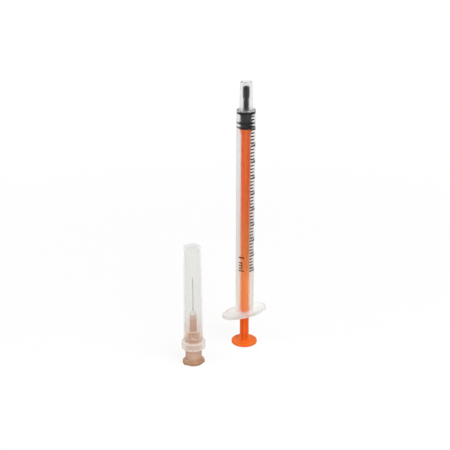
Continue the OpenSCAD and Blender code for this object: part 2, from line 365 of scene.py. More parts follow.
def new_group(name, inputs, outputs):
    """An empty shader node group of float sockets, with what it is given and what it puts out."""
    group = bpy.data.node_groups.new(name, "ShaderNodeTree")
    for label, value in inputs.items():
        socket = group.interface.new_socket(label, in_out="INPUT", socket_type="NodeSocketFloat")
        socket.default_value = value
    for label in outputs:
        group.interface.new_socket(label, in_out="OUTPUT", socket_type="NodeSocketFloat")
    given = add_node(group, "NodeGroupInput")
    result = add_node(group, "NodeGroupOutput")
    return group, given.outputs, result.inputs


def moulded_skin_group():
    """Skin of a moulding: fine grain as height, and roughness in broad soft patches.

    Height is grain noise. Roughness is low + (high - low) * patch noise, eased from 0 to 1.
    """
    group, given, result = new_group(
        "moulded_skin", {"Grain": 5000.0, "Patch": 300.0, "Low": 0.1, "High": 0.2},
        ["Height", "Roughness"]
    )
    place_in = own_place(group)
    patch = noise(group, place_in, given["Patch"], 4.0)
    feed(group, result["Height"], noise(group, place_in, given["Grain"], 3.0))
    rough = moved(group, patch, 0.35, 0.65, given["Low"], given["High"])
    feed(group, result["Roughness"], rough)
    return group


def fine_scratches_group():
    """Scratches from handling, long along the piece: 1 where a stretched noise crosses its middle.

    Mask is 1 - |noise - 0.5| / width where that is above 0, times a second noise that leaves most
    of the surface clean.
    """
    group, given, result = new_group(
        "fine_scratches", {"Across": 2500.0, "Along": 120.0, "Width": 0.015}, ["Mask"]
    )
    lines = noise(group, drawn_out(group, given["Across"], given["Along"]), 1.0, 1.0)
    from_middle = joined(group, "ABSOLUTE", joined(group, "SUBTRACT", lines, 0.5))
    share = joined(group, "DIVIDE", from_middle, given["Width"])
    inside = joined(group, "SUBTRACT", 1.0, share, clamp=True)
    areas = noise(group, own_place(group), 260.0, 2.0)
    sparse = moved(group, areas, 0.5, 0.62)
    feed(group, result["Mask"], times(group, inside, sparse))
    return group


def flow_marks_group():
    """Streaks that plastic leaves as it fills a mould: noise drawn out along Z, and bent."""
    group, given, result = new_group(
        "flow_marks", {"Across": 500.0, "Along": 60.0, "Bend": 3.0}, ["Streak"]
    )
    stretched = drawn_out(group, given["Across"], given["Along"])
    streak = noise(group, stretched, 1.0, 3.0, given["Bend"])
    feed(group, result["Streak"], moved(group, streak, 0.3, 0.7))
    return group


moulded_skin = moulded_skin_group()
fine_scratches = fine_scratches_group()
flow_marks = flow_marks_group()


# What finishes are made of


def new_finish(name, **values):
    """A material with one Principled shader whose plain sockets are set from named values."""
    material = bpy.data.materials.new(name)
    material.use_nodes = True
    tree = material.node_tree
    shader = tree.nodes["Principled BSDF"]
    for label, value in values.items():
        shader.inputs[label.replace("_", " ")].default_value = value
    return material, tree, shader


def use_group(tree, group, **values):
    """What a shared group puts out when it is placed in a material with its own values."""
    node = add_node(tree, "ShaderNodeGroup", node_tree=group)
    for label, value in values.items():
        feed(tree, node.inputs[label.replace("_", " ")], value)
    return node.outputs


def ramp(tree, value, from_mm, to_mm, end=1.0):
    """A smooth step of a length that is 0 up to one height and reaches its end at another."""
    return moved(tree, value, from_mm*MM, to_mm*MM, last=end)


def band(tree, value, centre_mm, half_width_mm):
    """A soft line in a length: 1 at its centre, falling to 0 a half width away on either side."""
    off_centre = joined(tree, "ABSOLUTE", joined(tree, "SUBTRACT", value, centre_mm*MM))
    return moved(tree, off_centre, 0.0, half_width_mm*MM, 1.0, 0.0)


def paint(tree, shader, ground, *coats):
    """Base colour made of a ground and coats on it, each given as a mask and a colour.

    A coat turns the colour c below it into c + mask (colour - c).
    """
    colour = (*ground, 1)
    for mask, coat in coats:
        mix = add_node(tree, "ShaderNodeMix", data_type="RGBA")
        feed(tree, mix.inputs["A"], colour)
        feed(tree, mix.inputs["B"], (*coat, 1))
        feed(tree, mix.inputs["Factor"], mask)
        colour = mix.outputs["Result"]
    feed(tree, shader.inputs["Base Color"], colour)


def add_skin(tree, shader, strength, depth_mm, scratch=0.0, frost=None, **values):
    """Roughness and bump of a moulded skin, rougher by a frost mask and where scratches run."""
    skin = use_group(tree, moulded_skin, **values)
    bump = add_node(tree, "ShaderNodeBump")
    bump.inputs["Strength"].default_value = strength
    bump.inputs["Distance"].default_value = depth_mm*MM
    feed(tree, bump.inputs["Height"], skin["Height"])
    feed(tree, shader.inputs["Normal"], bump.outputs["Normal"])
    rough = skin["Roughness"]
    if scratch:
        marks = use_group(tree, fine_scratches)
        rough = joined(tree, "MULTIPLY_ADD", marks["Mask"], scratch, rough, clamp=True)
    if frost is not None:
        rough = joined(tree, "ADD", rough, frost)
    feed(tree, shader.inputs["Roughness"], rough)


def add_frost_and_painted_sheen(tree, shader, mask, tint):
    """Sheen on clear plastic where a mask is, used as milky frost and as painted highlights."""
    shader.inputs["Sheen Roughness"].default_value = 1.0
    shader.inputs["Sheen Tint"].default_value = (*tint, 1)
    feed(tree, shader.inputs["Sheen Weight"], mask)


def add_depth_tint(tree, colour, density):
    """Light lost inside clear plastic, so that it darkens with the length of its path."""
    absorb = add_node(tree, "ShaderNodeVolumeAbsorption")
    absorb.inputs["Color"].default_value = (*colour, 1)
    absorb.inputs["Density"].default_value = density
    feed(tree, tree.nodes["Material Output"].inputs["Volume"], absorb.outputs["Volume"])


def clear_finish(name, bend, milk, gloss, tint, density):
    """Clear plastic that darkens with depth. Its milk is the share that scatters like paper."""
    material, tree, shader = new_finish(
        name, IOR=bend, Specular_IOR_Level=gloss, Transmission_Weight=1 - milk
    )
    add_depth_tint(tree, tint, density)
    return material, tree, shader


# Finishes


def orange_finish():
    """Glossy orange moulding with faint flow streaks, which gives off a little light, a painted
    glow.

    Below the flange its ribs carry painted light at their edges, which are lighter and yellower,
    and painted shade at their root, which is darker. The disc is painted lighter and yellower,
    with a redder painted reflection of the rod's foot in its middle. Above the flange it is
    painted lighter, and lighter and yellower still towards the bottom.
    """
    # A painted glow: the orange moulding gives off a little light of its own, though it is no
    # lamp.
    material, tree, shader = new_finish(
        "orange_moulding", IOR=1.5, Specular_IOR_Level=0.08, Subsurface_Weight=0.25,
        Subsurface_Scale=0.6*MM, Subsurface_Radius=(1.0, 0.35, 0.1),
        Emission_Color=(1.0, 0.17, 0.015, 1), Emission_Strength=0.1
    )
    streaks = use_group(tree, flow_marks, Across=700.0, Along=70.0, Bend=2.0)
    parts = own_parts(tree)
    z = parts["Z"]
    sideways = joined(tree, "ABSOLUTE", parts["X"])
    rib_edge = rod_span/2 - 0.2
    # Heights over which the painted shade at the ribs' root fades out upwards.
    painted_shade_top_z, painted_shade_low_z = 6.0, 3.0
    # Heights between which the painted light inside the barrel grows towards its bottom.
    painted_light_top_z, painted_light_low_z = 62.0, 20.0
    above_rest = ramp(tree, z, rest_t - 0.1, rest_t + 0.3)
    # Painted shade: the ribs are darker at their root, where they meet the disc.
    root = times(tree, above_rest, ramp(tree, z, painted_shade_top_z, painted_shade_low_z))
    under_flange = ramp(tree, z, flange_z + 1.1, flange_z - 0.4, 0.9)
    low = times(tree, above_rest, under_flange)
    # Painted light: below the flange the ribs' edges are lighter and yellower.
    painted_light_rib_edges = times(tree, ramp(tree, sideways, rib_edge - 0.5, rib_edge), low)
    # Painted light: the disc is lighter and yellower, and its middle by the rod's foot carries a
    # redder painted reflection of the rod.
    disc = ramp(tree, z, rest_t + 0.2, rest_t - 0.1)
    middle = times(tree, disc, ramp(tree, sideways, rod_span/2 + 0.25, rod_span/2 - 0.45))
    # Painted light inside the barrel: lighter there, and lighter and yellower still towards its
    # bottom.
    painted_light_in_barrel = ramp(tree, z, flange_z - 0.4, flange_z + 3.1)
    painted_light_fading_up = times(tree, painted_light_in_barrel, ramp(tree, z, painted_light_top_z, painted_light_low_z))
    paint(
        tree, shader, (0.92, 0.132, 0.02), (streaks["Streak"], (0.98, 0.16, 0.024)),
        (root, (0.82, 0.13, 0.02)), (painted_light_rib_edges, (0.84, 0.25, 0.05)),
        (disc, (0.96, 0.2, 0.02)), (middle, (0.98, 0.16, 0.022)),
        (painted_light_in_barrel, (0.975, 0.168, 0.005)), (painted_light_fading_up, (0.93, 0.29, 0.03))
    )
    add_skin(
        tree, shader, strength=0.25, depth_mm=0.01, scratch=0.25,
        Grain=4000.0, Patch=350.0, Low=0.16, High=0.3
    )
    return material


def rubber_finish():
    """Dark grey rubber, satin, with a bloom that lightens it in patches."""
    material, tree, shader = new_finish("stopper_rubber", IOR=1.5, Specular_IOR_Level=0.1)
    bloom = use_group(tree, flow_marks, Across=900.0, Along=900.0, Bend=1.0)
    paint(tree, shader, (0.009, 0.011, 0.016), (bloom["Streak"], (0.018, 0.021, 0.028)))
    add_skin(
        tree, shader, strength=0.4, depth_mm=0.02,
        Grain=7000.0, Patch=700.0, Low=0.38, High=0.55
    )
    return material


def barrel_finish():
    """Clear barrel: greyer in the nozzle and the flange, and rougher towards the flange.

    Painted light makes its wall clearer and warmer towards the bottom, and the flange's outer edge
    paler than its top face. A painted highlight makes it paler and milky with sheen where the
    flange meets the barrel, across the middle of its front and back.
    """
    material, tree, shader = clear_finish(
        "clear_barrel", bend=1.43, milk=0.002, gloss=0.03, tint=(0.86, 0.87, 0.87), density=70.0
    )
    parts = own_parts(tree)
    z = parts["Z"]
    sideways = joined(tree, "ABSOLUTE", parts["X"])
    warm_light_top_z, rough_top_z = 50.0, 75.0
    # Painted light: the wall is clearer and warmer towards the bottom.
    low = ramp(tree, z, warm_light_top_z, flange_top_z + 4.0)
    nozzle = ramp(tree, z, shoulder_z - 0.5, shoulder_z + 0.8)
    flange = ramp(tree, z, flange_top_z + 1.2, flange_top_z + 0.1)
    # Painted light: the flange's outer edge and underside are paler.
    painted_light_flange_edge = ramp(tree, z, flange_top_z - 0.2, flange_top_z - 0.4)
    # Painted highlight: where the flange meets the barrel, across the middle of its front and
    # back, it is paler and milky.
    near_axis = ramp(tree, sideways, barrel_r + 0.15, bore_r + 0.05)
    meeting = ramp(tree, z, flange_top_z + 0.9, flange_top_z + 0.2)
    root = times(tree, near_axis, meeting)
    paint(
        tree, shader, (0.895, 0.885, 0.865), (low, (1.0, 0.96, 0.905)),
        (nozzle, (0.87, 0.87, 0.865)), (flange, (0.868, 0.867, 0.845)),
        (painted_light_flange_edge, (1.0, 0.985, 0.96)), (root, (1.0, 0.975, 0.955))
    )
    # Milky sheen of the painted highlight where the flange meets the barrel.
    add_frost_and_painted_sheen(tree, shader, times(tree, root, 0.6), (1.0, 0.93, 0.9))
    rougher_down = ramp(tree, z, rough_top_z, flange_top_z + 1.0, 0.15)
    rough_flange = ramp(tree, z, flange_top_z + 1.1, flange_top_z + 0.1, 0.1)
    frost = joined(tree, "ADD", rougher_down, rough_flange)
    add_skin(
        tree, shader, strength=0.01, depth_mm=0.01, frost=frost,
        Grain=1500.0, Patch=200.0, Low=0.28, High=0.3
    )
    return material


def sheath_finish():
    """Clear sheath: a painted reflection of the hub makes it warmer where the hub stands close
    inside it, and painted shade greys the far half of its closed end.

    Painted highlights make the two edges of its rim pale, with sheen and a little painted glow,
    the upper one less.
    """
    material, tree, shader = clear_finish(
        "clear_sheath", bend=1.03, milk=0.12, gloss=0.2, tint=(0.88, 0.88, 0.87), density=200.0
    )
    parts = own_parts(tree)
    z = parts["Z"]
    seat, top = sheath_low[2], sheath_high[2]
    axis_y = needle_xy[1]
    # Painted reflection: warmer where the hub stands close inside.
    painted_hub_reflection = ramp(tree, z, hub_l - 2.6, hub_l - 3.2)
    rim = ramp(tree, z, seat + rim_h + 0.15, seat + rim_h - 0.15)
    # Painted shade: the far half of the closed end is greyer.
    at_end = ramp(tree, z, top - 0.4, top - 0.1)
    painted_shade_far_half = ramp(tree, parts["Y"], axis_y - 1.5, axis_y - 0.5)
    end = times(tree, at_end, painted_shade_far_half)
    # Painted highlights on the rim's two edges: paler colour, sheen and a little painted glow.
    upper_edge = band(tree, z, seat + rim_h, 0.3)
    lower_edge = band(tree, z, seat, 0.35)
    edges = joined(tree, "MAXIMUM", upper_edge, lower_edge)
    paint(
        tree, shader, (0.88, 0.875, 0.86), (painted_hub_reflection, (0.865, 0.812, 0.782)),
        (rim, (0.825, 0.77, 0.745)), (end, (0.8, 0.775, 0.815)), (edges, (1.0, 0.98, 0.95))
    )
    # A painted glow on the rim's edges, the upper one weaker.
    painted_glint = joined(tree, "MULTIPLY_ADD", upper_edge, 0.3, lower_edge)
    shader.inputs["Emission Color"].default_value = (1.0, 0.65, 0.52, 1)
    feed(tree, shader.inputs["Emission Strength"], times(tree, painted_glint, 0.18))
    # Sheen: milky over the rim, and a painted highlight on its edges.
    milk_and_painted_sheen = joined(tree, "MAXIMUM", times(tree, rim, 0.7), edges)
    add_frost_and_painted_sheen(tree, shader, milk_and_painted_sheen, (1.0, 0.93, 0.86))
    add_skin(
        tree, shader, strength=0.01, depth_mm=0.01, scratch=0.03,
        Grain=1500.0, Patch=200.0, Low=0.19, High=0.23
    )
    return material


def hub_finish():
    """Translucent brown moulding: darker in the stem and paler over the resin, with painted shade
    that darkens its foot.

    Painted light makes its neck lighter towards the sheath's mouth and the sides of its shoulders
    pale. Painted highlights make pale lines where z + 0.55 (y - axis) is the height of the boss
    and of the fins, and up two sides between these, where |x - axis| is 1.9 mm.
    """
    material, tree, shader = new_finish(
        "brown_translucent", IOR=1.5, Specular_IOR_Level=0.15, Transmission_Weight=0.12
    )
    axis_x, axis_y = needle_xy*MM
    seat = sheath_low[2]
    # Where the painted highlight lines lie: their distance from the axis, and the slope that tilts
    # them.
    painted_highlight_x, painted_highlight_slope = 1.9, 0.55
    streaks = use_group(tree, flow_marks, Across=500.0, Along=200.0, Bend=2.0)
    parts = own_parts(tree)
    z = parts["Z"]
    sideways = joined(tree, "ABSOLUTE", joined(tree, "SUBTRACT", parts["X"], axis_x))
    forward = joined(tree, "SUBTRACT", parts["Y"], axis_y)
    sloped = joined(tree, "MULTIPLY_ADD", forward, painted_highlight_slope, z)
    # Painted shade: the foot is darker.
    foot = ramp(tree, z, foot_slope_top_z + 1.0, foot_h - 0.3, 0.9)
    # Painted light: the neck lightens upwards towards the sheath's mouth.
    painted_light_up = ramp(tree, z, foot_slope_top_z + 0.4, foot_slope_top_z + 1.8, 0.35)
    neck = times(tree, painted_light_up, ramp(tree, z, seat + 0.6, seat + 0.1))
    stem = ramp(tree, z, boss_top_z + 1.5, fin_top_z + 1.5, 0.75)
    resin = ramp(tree, z, hub_l - well_l - 0.1, hub_l - well_l + 0.1, 0.45)
    # Painted light: the two sides of the shoulders are pale.
    outside = ramp(tree, sideways, painted_highlight_x, painted_highlight_x + 0.4)
    painted_light_shoulders = times(tree, outside, ramp(tree, z, neck_top_z - 1.8, neck_top_z - 0.9, 0.75))
    # Painted highlights: pale lines at the boss and the fins, and up two sides between them.
    above_boss = ramp(tree, sloped, boss_top_z - 0.3, boss_top_z)
    under_fins = ramp(tree, sloped, fin_top_z + 0.3, fin_top_z)
    between = times(tree, above_boss, under_fins)
    up_sides = times(tree, band(tree, sideways, painted_highlight_x, 0.5), between)
    at_fins, at_boss = band(tree, sloped, fin_top_z, 0.4), band(tree, sloped, boss_top_z, 0.4)
    inside = ramp(tree, sideways, painted_highlight_x + 0.2, painted_highlight_x)
    across = times(tree, joined(tree, "MAXIMUM", at_fins, at_boss), inside)
    painted_highlight_lines = joined(tree, "MAXIMUM", across, up_sides)
    paint(
        tree, shader, (0.72, 0.425, 0.29), (streaks["Streak"], (0.8, 0.49, 0.35)),
        (foot, (0.5, 0.25, 0.14)), (neck, (1.0, 0.72, 0.6)), (stem, (0.57, 0.3, 0.18)),
        (resin, (0.85, 0.62, 0.5)), (painted_light_shoulders, (1.0, 0.8, 0.68)), (painted_highlight_lines, (1.0, 0.87, 0.72))
    )
    add_depth_tint(tree, (0.72, 0.45, 0.3), 220.0)
    add_skin(
        tree, shader, strength=0.2, depth_mm=0.01, scratch=0.1,
        Grain=5000.0, Patch=500.0, Low=0.1, High=0.22
    )
    return material


def steel_finish():
    """Bright drawn steel with fine lines along the tube."""
    material, tree, shader = new_finish("drawn_steel", Metallic=1.0)
    lines = use_group(tree, flow_marks, Across=9000.0, Along=150.0, Bend=0.5)
    paint(tree, shader, (0.52, 0.53, 0.54), (lines["Streak"], (0.66, 0.66, 0.67)))
    add_skin(
        tree, shader, strength=0.2, depth_mm=0.004,
        Grain=12000.0, Patch=2000.0, Low=0.18, High=0.3
    )
    return material


def resin_finish():
    """Pale cured resin, milky and glossy."""
    material, tree, shader = new_finish(
        "cured_resin", IOR=1.5, Specular_IOR_Level=0.3, Transmission_Weight=0.2
    )
    clouds = use_group(tree, flow_marks, Across=900.0, Along=900.0, Bend=1.0)
    paint(tree, shader, (0.9, 0.86, 0.82), (clouds["Streak"], (0.95, 0.93, 0.9)))
    add_skin(
        tree, shader, strength=0.1, depth_mm=0.01,
        Grain=3000.0, Patch=900.0, Low=0.08, High=0.16
    )
    return material


def ink_finish():
    """Black printing ink, slightly worn: patches of it are greyer."""
    material, tree, shader = new_finish("black_ink", IOR=1.45, Specular_IOR_Level=0.08)
    wear = use_group(tree, flow_marks, Across=1500.0, Along=1500.0, Bend=1.0)
    paint(tree, shader, (0.003, 0.003, 0.0035), (wear["Streak"], (0.01, 0.0095, 0.01)))
    add_skin(
        tree, shader, strength=0.3, depth_mm=0.01,
        Grain=9000.0, Patch=1500.0, Low=0.35, High=0.55
    )
    return material


# Plunger


def cross_outline(across, thick, edge_r, root_r, grow=0.0):
    """Outline of a cross with rounded corners, counterclockwise from the rib on +X.

    Each of its sides is moved outwards by grow.
    """
    half, t = across/2 + grow, thick/2 + grow
    corners = [
        (half, -t, edge_r), (half, t, edge_r), (t, t, root_r),
        (t, half, edge_r), (-t, half, edge_r), (-t, t, root_r),
        (-half, t, edge_r), (-half, -t, edge_r), (-t, -t, root_r),
        (-t, -half, edge_r), (t, -half, edge_r), (t, -t, root_r)
    ]
    return rounded(corners, steps=3, fill=5, closed=True)


def plunger_moulding():
    """Thumb rest, cross-shaped rod, collar, neck and barb, as one surface from pole to pole.

    Circles use the angles of the cross's outline as their columns, so the rows join one to one.
    At a height z above the rest, each rib of the root is longer by s (1 - z / h)^1.6, where h is
    the root's height and s its spread.
    """
    rib_edge_r, rib_root_r, base_fillet = 0.16, 0.12, 0.22
    spread_of_rib_t, spread_power = 0.35, 1.6
    columns = cross_outline(rod_span, rib_t, rib_edge_r, rib_root_r)
    angles = np.arctan2(columns[:, 1], columns[:, 0])
    dish_r, dish_z, edge_r = 3.9, 0.12, 0.35
    gate_r, gate_z = 0.5, 0.03
    rest = rounded([
        (0, gate_z, 0), (gate_r, gate_z, 0.05), (gate_r + dish_z, dish_z, 0.05),
        (dish_r, dish_z, 0.1), (dish_r + dish_z, 0, 0.1), (rest_r, 0, edge_r),
        (rest_r, rest_t, edge_r), (rod_span, rest_t, 0)
    ])
    turn = np.linspace(0, math.pi/2, 6)
    foot_grow = base_fillet*(1 - np.sin(turn))
    foot_z = rest_t + base_fillet*(1 - np.cos(turn))
    climb = np.linspace(0, 1, 10)
    rise = np.concatenate([foot_z, foot_z[-1] + (rest_t + root_h - foot_z[-1])*climb[1:]])
    grow = np.concatenate([foot_grow, np.zeros(len(climb) - 1)])
    left_over = np.clip(1 - (rise - rest_t)/root_h, 0, 1)
    spread = root_spread*left_over**spread_power
    roots = np.stack([
        cross_outline(rod_span + 2*s, rib_t + spread_of_rib_t*s, rib_edge_r, rib_root_r, g)
        for s, g in zip(spread, grow)
    ])
    shaft_z = np.array([rest_t + root_h + 0.3, flange_z, shoulder_z/2, collar_z - 0.3, collar_z])
    shaft = np.repeat(columns[None], len(shaft_z), 0)
    collar_top_z = collar_z + collar_t
    head = rounded([
        (collar_r - 0.25, collar_z, 0), (collar_r, collar_z, 0.15), (collar_r, collar_top_z, 0.2),
        (neck_r, collar_top_z, 0.1), (neck_r, barb_z, 0.1), (barb_r, barb_z, 0.1),
        (neck_r, barb_tip_z, 0.25), (0, barb_tip_z, 0)
    ])
    points = np.concatenate([
        turned(rest, angles), stacked(roots, rise), stacked(shaft, shaft_z), turned(head, angles)
    ])
    return closed_mesh("plunger_moulding", points)


# Stopper


def stopper_moulding():
    """Stopper with three rings pressed against the bore, and the nose that fills the nozzle.

    The profile starts at the top of the barb's pocket, runs out round the stopper and ends at the
    nose's point.
    """
    ring_r = bore_r + ring_squeeze
    rear, front = stopper_rear_z, stopper_front_z
    pocket_r, pocket_neck_r = barb_r + pocket_gap, neck_r + pocket_gap
    pocket_z, pocket_top = barb_z - pocket_gap, barb_tip_z + pocket_gap
    rear_ring, mid_ring = (rear + 0.2, rear + 0.8), (rear + 1.75, rear + 2.45)
    front_ring = (front - 1.1, front - 0.1)
    stem_r, stem_top = 0.95, front + 3.9
    groove_r, head_z = 0.55, front + 4.4
    head_r, point_l = 1.15, 0.5
    corners = [
        (0, pocket_top, 0), (pocket_r, pocket_top, 0.1), (pocket_r, pocket_z, 0.1),
        (pocket_neck_r, pocket_z, 0.1), (pocket_neck_r, rear, 0.1), (stopper_r, rear, 0.08),
        (stopper_r, rear_ring[0], 0.06), (ring_r, rear_ring[0], 0.1),
        (ring_r, rear_ring[1], 0.1), (stopper_r, rear_ring[1], 0.12),
        (stopper_r, mid_ring[0], 0.12), (ring_r, mid_ring[0], 0.1),
        (ring_r, mid_ring[1], 0.1), (stopper_r, mid_ring[1], 0.12),
        (stopper_r, front_ring[0], 0.12), (ring_r, front_ring[0], 0.15),
        (ring_r, front_ring[1], 0.2), (stopper_r, front, 0.15), (stem_r, front, 0.3),
        (stem_r, stem_top, 0.1), (groove_r, stem_top + 0.04, 0.06),
        (groove_r, head_z - 0.04, 0.06), (head_r, head_z, 0.1),
        (head_r, nose_tip_z - point_l, 0.15), (0, nose_tip_z, 0)
    ]
    points = turned(rounded(corners, hold=0.06), even_angles(128))
    return closed_mesh("stopper_moulding", points)


# Barrel


def flange_reach(angles):
    """Distance from the axis to the flange's edge, in the flange's own frame.

    Near the ends the edge is a circle of radius r round (e, 0): e cos a + sqrt(r^2 - e^2 sin^2 a).
    Along the sides it is a circle of radius R round (0, -d): sqrt(R^2 - d^2 cos^2 a) - d sin a.
    """
    a = np.abs(np.mod(angles + math.pi/2, math.pi) - math.pi/2)
    end_x = flange_l/2 - flange_end_r
    rise = flange_w/2
    long_r = (end_x**2 - flange_end_r**2 + rise**2)/(2*(rise - flange_end_r))
    drop = long_r - rise
    meet = math.atan2(drop, end_x)
    change = math.atan2(flange_end_r*math.sin(meet), end_x + flange_end_r*math.cos(meet))
    inside = np.clip(flange_end_r**2 - (end_x*np.sin(a))**2, 0, None)
    end_arc = end_x*np.cos(a) + np.sqrt(inside)
    long_arc = np.sqrt(long_r**2 - (drop*np.cos(a))**2) - drop*np.sin(a)
    return np.where(a < change, end_arc, long_arc)


def flange_edge(angles):
    """The flange's outline as points, and the outward direction at each of them."""
    reach = flange_reach(angles - flange_turn)
    outline = np.stack([reach*np.cos(angles), reach*np.sin(angles)], -1)
    tangent = np.roll(outline, -1, 0) - np.roll(outline, 1, 0)
    outward = np.stack([tangent[:, 1], -tangent[:, 0]], -1)
    return outline, outward/np.linalg.norm(outward, axis=1)[:, None]


def barrel_moulding():
    """Barrel, flange and nozzle as one closed surface.

    Its rows run from the mouth under the flange, round the flange's rounded edge, up the outside,
    over the nozzle's tip and down through the bore.
    """
    angles = even_angles(240)
    outline, outward = flange_edge(angles)
    turn = np.linspace(0, math.pi/2, 6)
    inset = flange_edge_r*(1 - np.sin(turn))
    lift = flange_edge_r*(1 - np.cos(turn))
    hold = flange_edge_r + 0.15
    insets = np.concatenate([[hold], inset, inset[::-1], [hold]])
    heights = np.concatenate([
        [flange_z], flange_z + lift, flange_top_z - lift[::-1], [flange_top_z]
    ])
    edge = stacked(outline[None] - insets[:, None, None]*outward[None], heights)
    fillet = 0.5
    body = rounded([
        (barrel_r + fillet + 0.15, flange_top_z, 0), (barrel_r, flange_top_z, fillet),
        (barrel_r, shoulder_z, 0.3), (nozzle_root_r, shoulder_z, 0.25),
        (nozzle_tip_r, nozzle_tip_z, 0.3), (nozzle_bore_r, nozzle_tip_z, 0.15),
        (nozzle_bore_r, bore_end_z, 0.15), (bore_r, bore_end_z, 0.2),
        (bore_r, flange_z + mouth_l, 0.4), (mouth_r, flange_z, 0.12),
        (mouth_r + 0.35, flange_z, 0)
    ])
    return closed_mesh("barrel_moulding", np.concatenate([edge, turned(body, angles)]), True)


# Printed scale


def line_z(step):
    """Height of a line's middle. The first line's top edge is level with the stopper's front."""
    return stopper_front_z - line_w/2 - step*scale_l/scale_steps


def ink_lines(name, steps, sweep):
    """Printed lines as domed bands that lie round the barrel and narrow to round ends.

    At an end the half width is w sqrt(1 - u^2), where u falls from 1 to 0 over the first w, and
    between the ends it is w. Across a band the ink's height above its flat underside is
    t sqrt(sin b), with b from 0 to pi.
    """
    half = line_w/2
    end = half/barrel_r
    first_turn = 0.15
    rounding = end*(1 - np.cos(np.linspace(first_turn, math.pi/2, 4)))
    straight = np.linspace(end, sweep - end, 14)[1:-1]
    along = np.concatenate([rounding, straight, sweep - rounding[::-1]])
    from_end = np.minimum(along, sweep - along)
    width = half*np.sqrt(np.clip(1 - np.clip(1 - from_end/end, 0, 1)**2, 0, 1))
    turn = np.linspace(0, math.pi, 7)
    across = np.concatenate([np.cos(turn), [-0.5, 0.5]])
    dome = np.concatenate([ink_lift + ink_t*np.sqrt(np.sin(turn)), [ink_lift, ink_lift]])
    angle = line_start + along[None, :, None]
    radius = barrel_r + dome[None, None, :]
    z = line_z(steps)[:, None, None] + width[None, :, None]*across[None, None, :]
    points = np.stack(np.broadcast_arrays(radius*np.cos(angle), radius*np.sin(angle), z), -1)
    corners, faces = [], []
    for line in points:
        middle = line.mean(1, keepdims=True)
        rows = np.concatenate([middle[:1] + 0*line[:1], line, middle[-1:] + 0*line[-1:]])
        line_corners, line_faces = closed_grid(rows, False)
        base = len(corners)*len(line_corners)
        corners.append(line_corners)
        faces += [[base + i for i in face] for face in line_faces]
    return smooth_mesh(name, np.vstack(corners), faces, 50)


def flat_words(text, size, bolder):
    """Text as a thin flat mesh in millimetres, cut small enough to bend round the barrel."""
    longest_edge = 0.12
    curve = bpy.data.curves.new("figures", "FONT")
    curve.body = text
    curve.size = size
    curve.align_x = "CENTER"
    curve.align_y = "CENTER"
    curve.space_word = 0.35
    curve.space_character = 1.1
    curve.resolution_u = 4
    curve.extrude = ink_t/2
    curve.offset = bolder
    holder = add_object("figures", curve)
    bpy.context.view_layer.update()
    solid = holder.evaluated_get(bpy.context.evaluated_depsgraph_get())
    flat = bpy.data.meshes.new_from_object(solid)
    bpy.data.objects.remove(holder)
    bpy.data.curves.remove(curve)
    shape = bmesh.new()
    shape.from_mesh(flat)
    bmesh.ops.remove_doubles(shape, verts=shape.verts, dist=size/2000)
    bmesh.ops.triangulate(shape, faces=shape.faces)
    for _ in range(3):
        long_edges = [e for e in shape.edges if e.calc_length() > longest_edge]
        bmesh.ops.subdivide_edges(shape, edges=long_edges, cuts=1)
        bmesh.ops.triangulate(shape, faces=shape.faces)
    shape.to_mesh(flat)
    shape.free()
    return flat


def printed_words(name, words, size, bolder, turned_down=False, stretch=1.0):
    """Generic figures printed round the barrel, one mesh.

    Each entry is (text, angle, height): letters stand upright there, or read downwards. A point
    (x, y) of the flat text, first stretched along x and, to read downwards, made (y, -x), goes to
    the angle plus x / r and the height plus y. Its thickness becomes the ink's height above the
    barrel.
    """
    clearance = 0.01
    merged = bmesh.new()
    for text, angle, height in words:
        flat = flat_words(text, size, bolder)
        coordinates = np.zeros(len(flat.vertices)*3)
        flat.vertices.foreach_get("co", coordinates)
        x, y, depth = coordinates.reshape(-1, 3).T
        x = x*stretch
        if turned_down:
            x, y = y, -x
        around = angle + x/barrel_r
        radius = barrel_r + clearance + ink_t/2 + depth
        bent = np.stack([radius*np.cos(around), radius*np.sin(around), height + y], -1)
        flat.vertices.foreach_set("co", bent.ravel())
        merged.from_mesh(flat)
        bpy.data.meshes.remove(flat)
    bmesh.ops.scale(merged, vec=(MM, MM, MM), verts=merged.verts)
    mesh = bpy.data.meshes.new(name)
    merged.to_mesh(mesh)
    merged.free()
    return mesh


# Needle


def softer_least(a, b, blend):
    """The smaller of two arrays, changing smoothly: (a + b - sqrt((a - b)^2 + k^2)) / 2."""
    return (a + b - np.sqrt((a - b)**2 + blend**2))/2


def softer_most(a, b, blend):
    """The larger of two arrays, changing smoothly: (a + b + sqrt((a - b)^2 + k^2)) / 2."""
    return (a + b + np.sqrt((a - b)**2 + blend**2))/2


def winged(angles, count, tip, half_width, core, blend):
    """Distance to the outline of a round core with plates that stand out of it, evenly spread.

    A plate's side face at distance h from its middle line is at h / |sin a|, its end at the tip.
    """
    pitch = FULL_TURN/count
    a = np.mod(angles + pitch/2, pitch) - pitch/2
    side = half_width/np.clip(np.abs(np.sin(a)), 0.01, None)
    return softer_most(core, softer_least(tip, side, blend), blend)


def hub_columns():
    """Angles of the hub's columns: evenly spread, and closer at the sides of fins and lugs."""

    def sides(count, first, last, turn):
        """Eight angles at each side of every plate, from the first to the last off its middle."""
        flank = np.linspace(first, last, 8)
        around = np.arange(count)[:, None]*FULL_TURN/count
        return (turn + around + np.concatenate([flank, -flank])[None]).ravel()

    fin = sides(4, math.atan(fin_half_t/boss_r)*0.8, math.asin(fin_half_t/stem_end_r)*1.1, 0)
    lug = sides(2, math.asin(lug_half_w/lug_r)*0.93, math.asin(lug_half_w/foot_r)*1.07, lug_turn)
    every = np.concatenate([even_angles(120) + 0.01, fin, lug])
    return np.unique(np.round(np.mod(every, FULL_TURN), 3))


